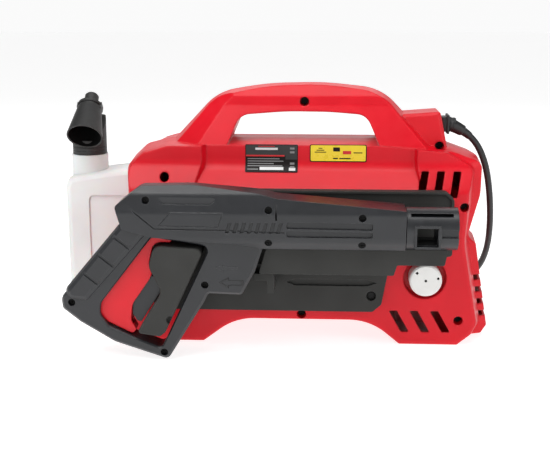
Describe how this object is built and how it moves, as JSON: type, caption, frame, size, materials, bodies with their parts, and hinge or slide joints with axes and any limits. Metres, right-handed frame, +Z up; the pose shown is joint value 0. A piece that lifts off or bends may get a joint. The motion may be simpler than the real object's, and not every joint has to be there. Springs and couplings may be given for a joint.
{
  "type": "portable pressure washer",
  "caption": "Portable electric pressure washer with a carrying handle, a trigger spray gun held on a front cradle, a rotary switch and a side foam bottle.",
  "frame": {"origin": "centre of the footprint at floor level", "axes": "+X to the right seen from the front, -Y is the front with the spray gun, +Z up"},
  "size_m": [0.474, 0.3647, 0.2661],
  "materials": {
    "housing_red": "semi-gloss moulded plastic",
    "cradle_grey": "matte moulded plastic",
    "gun_black": "fine textured glass-filled plastic",
    "trigger_red": "semi-gloss moulded plastic",
    "knob_white": "semi-gloss moulded plastic",
    "bottle_white": "milky translucent blow-moulded plastic",
    "nozzle_black": "matte moulded plastic",
    "inner_black": "matte moulded plastic",
    "cord_black": "satin rubber sheath",
    "screw_steel": "zinc-plated steel",
    "steel": "ground steel",
    "laminated_steel": "stacked sheet steel",
    "copper": "enamelled copper wire",
    "brass": "machined brass",
    "cast_aluminium": "die-cast",
    "carbon": "pressed carbon, sintered",
    "spring_steel": "spring wire",
    "white_plastic": "matte moulded plastic"
  },
  "bodies": {
    "machine": {"front_shell": "housing_red", "rear_shell": "housing_red", "shell_screws": "screw_steel", "gun_cradle": "cradle_grey", "cradle_screws": "screw_steel", "gun_peg": "cradle_grey", "power_switch": "inner_black", "motor_stator": "laminated_steel", "field_coils": "copper", "motor_end_bracket": "cast_aluminium", "motor_bearings": "steel", "brush_holders": "brass", "carbon_brushes": "carbon", "wobble_plate": "steel", "gear_housing": "cast_aluminium", "pump_head": "cast_aluminium", "piston_spring_1": "spring_steel", "piston_spring_2": "spring_steel", "piston_spring_3": "spring_steel", "valve_caps": "brass", "water_inlet": "brass", "inlet_filter": "white_plastic", "pressure_outlet": "brass", "pressure_switch": "inner_black", "capacitor": "cast_aluminium", "cord_clamp": "inner_black", "strain_relief": "cord_black", "power_cord": "cord_black", "cord_coil": "cord_black", "coil_tie": "cord_black", "plug_body": "cord_black", "plug_pins": "brass"},
    "spray_gun": {"gun_front_half": "gun_black", "gun_rear_half": "gun_black", "gun_screws": "screw_steel", "muzzle_collar": "gun_black", "valve_body": "brass", "hose_inlet": "steel", "trigger_pin": "steel", "valve_spring": "spring_steel"},
    "trigger": {"trigger": "trigger_red"},
    "trigger_lock": {"trigger_lock": "gun_black"},
    "valve_pin": {"valve_pin": "steel"},
    "switch_knob": {"switch_knob": "knob_white"},
    "rotor": {"motor_shaft": "steel", "armature_core": "laminated_steel", "armature_windings": "copper", "commutator": "copper", "cooling_fan": "inner_black"},
    "gear_train": {"drive_gear": "white_plastic", "gear_shaft": "steel", "slanted_cam": "steel"},
    "piston_1": {"piston_1": "steel"},
    "piston_2": {"piston_2": "steel"},
    "piston_3": {"piston_3": "steel"},
    "foam_bottle": {"foam_bottle": "bottle_white"},
    "foam_head": {"bottle_cap": "nozzle_black", "foam_nozzle": "nozzle_black", "suction_tube": "white_plastic"}
  },
  "joints": [
    {"name": "gun_lift_off", "type": "slide", "parent": "machine", "child": "spray_gun", "axis": [0, -1, 0], "range_m": [0, 0.15]},
    {"name": "trigger_pull", "type": "hinge", "parent": "spray_gun", "child": "trigger", "pos_m": [-0.09435, -0.0913, 0.132], "axis": [0, 1, 0], "range_deg": [0, 8], "stiffness_Nm_per_rad": 0.8, "springref_deg": -6.88},
    {"name": "lock_swing", "type": "hinge", "parent": "trigger", "child": "trigger_lock", "pos_m": [-0.11865, -0.0913, 0.0837], "axis": [0, 1, 0], "range_deg": [0, 8]},
    {"name": "valve_push", "type": "slide", "parent": "spray_gun", "child": "valve_pin", "axis": [1, 0, 0], "range_m": [0, 0.002], "deforming": ["valve_spring"]},
    {"name": "knob_turn", "type": "hinge", "parent": "machine", "child": "switch_knob", "pos_m": [0.15915, -0.0453, 0.072], "axis": [0, -1, 0], "range_deg": [0, 90]},
    {"name": "rotor_spin", "type": "hinge", "parent": "machine", "child": "rotor", "pos_m": [0.08365, 0.0247, 0.108], "axis": [1, 0, 0], "continuous": true},
    {"name": "gear_spin", "type": "hinge", "parent": "machine", "child": "gear_train", "pos_m": [-0.01135, 0.0247, 0.078], "axis": [1, 0, 0], "continuous": true},
    {"name": "piston_1_stroke", "type": "slide", "parent": "machine", "child": "piston_1", "axis": [-1, 0, 0], "range_m": [0, 0.005], "stiffness_N_per_m": 1500, "springref_m": -0.002, "deforming": ["piston_spring_1"]},
    {"name": "piston_2_stroke", "type": "slide", "parent": "machine", "child": "piston_2", "axis": [-1, 0, 0], "range_m": [0, 0.005], "stiffness_N_per_m": 1500, "springref_m": -0.002, "deforming": ["piston_spring_2"]},
    {"name": "piston_3_stroke", "type": "slide", "parent": "machine", "child": "piston_3", "axis": [-1, 0, 0], "range_m": [0, 0.005], "stiffness_N_per_m": 1500, "springref_m": -0.002, "deforming": ["piston_spring_3"]},
    {"name": "bottle_lift", "type": "slide", "parent": "machine", "child": "foam_bottle", "axis": [0, 0, 1], "range_m": [0, 0.17]},
    {"name": "foam_head_off", "type": "slide", "parent": "foam_bottle", "child": "foam_head", "axis": [0, 0, 1], "range_m": [0, 0.16]}
  ],
  "couplings": [
    {"joint": "valve_push", "follows": "trigger_pull", "m_per_rad": 0.012},
    {"joint": "gear_spin", "follows": "rotor_spin", "ratio": -0.25}
  ]
}
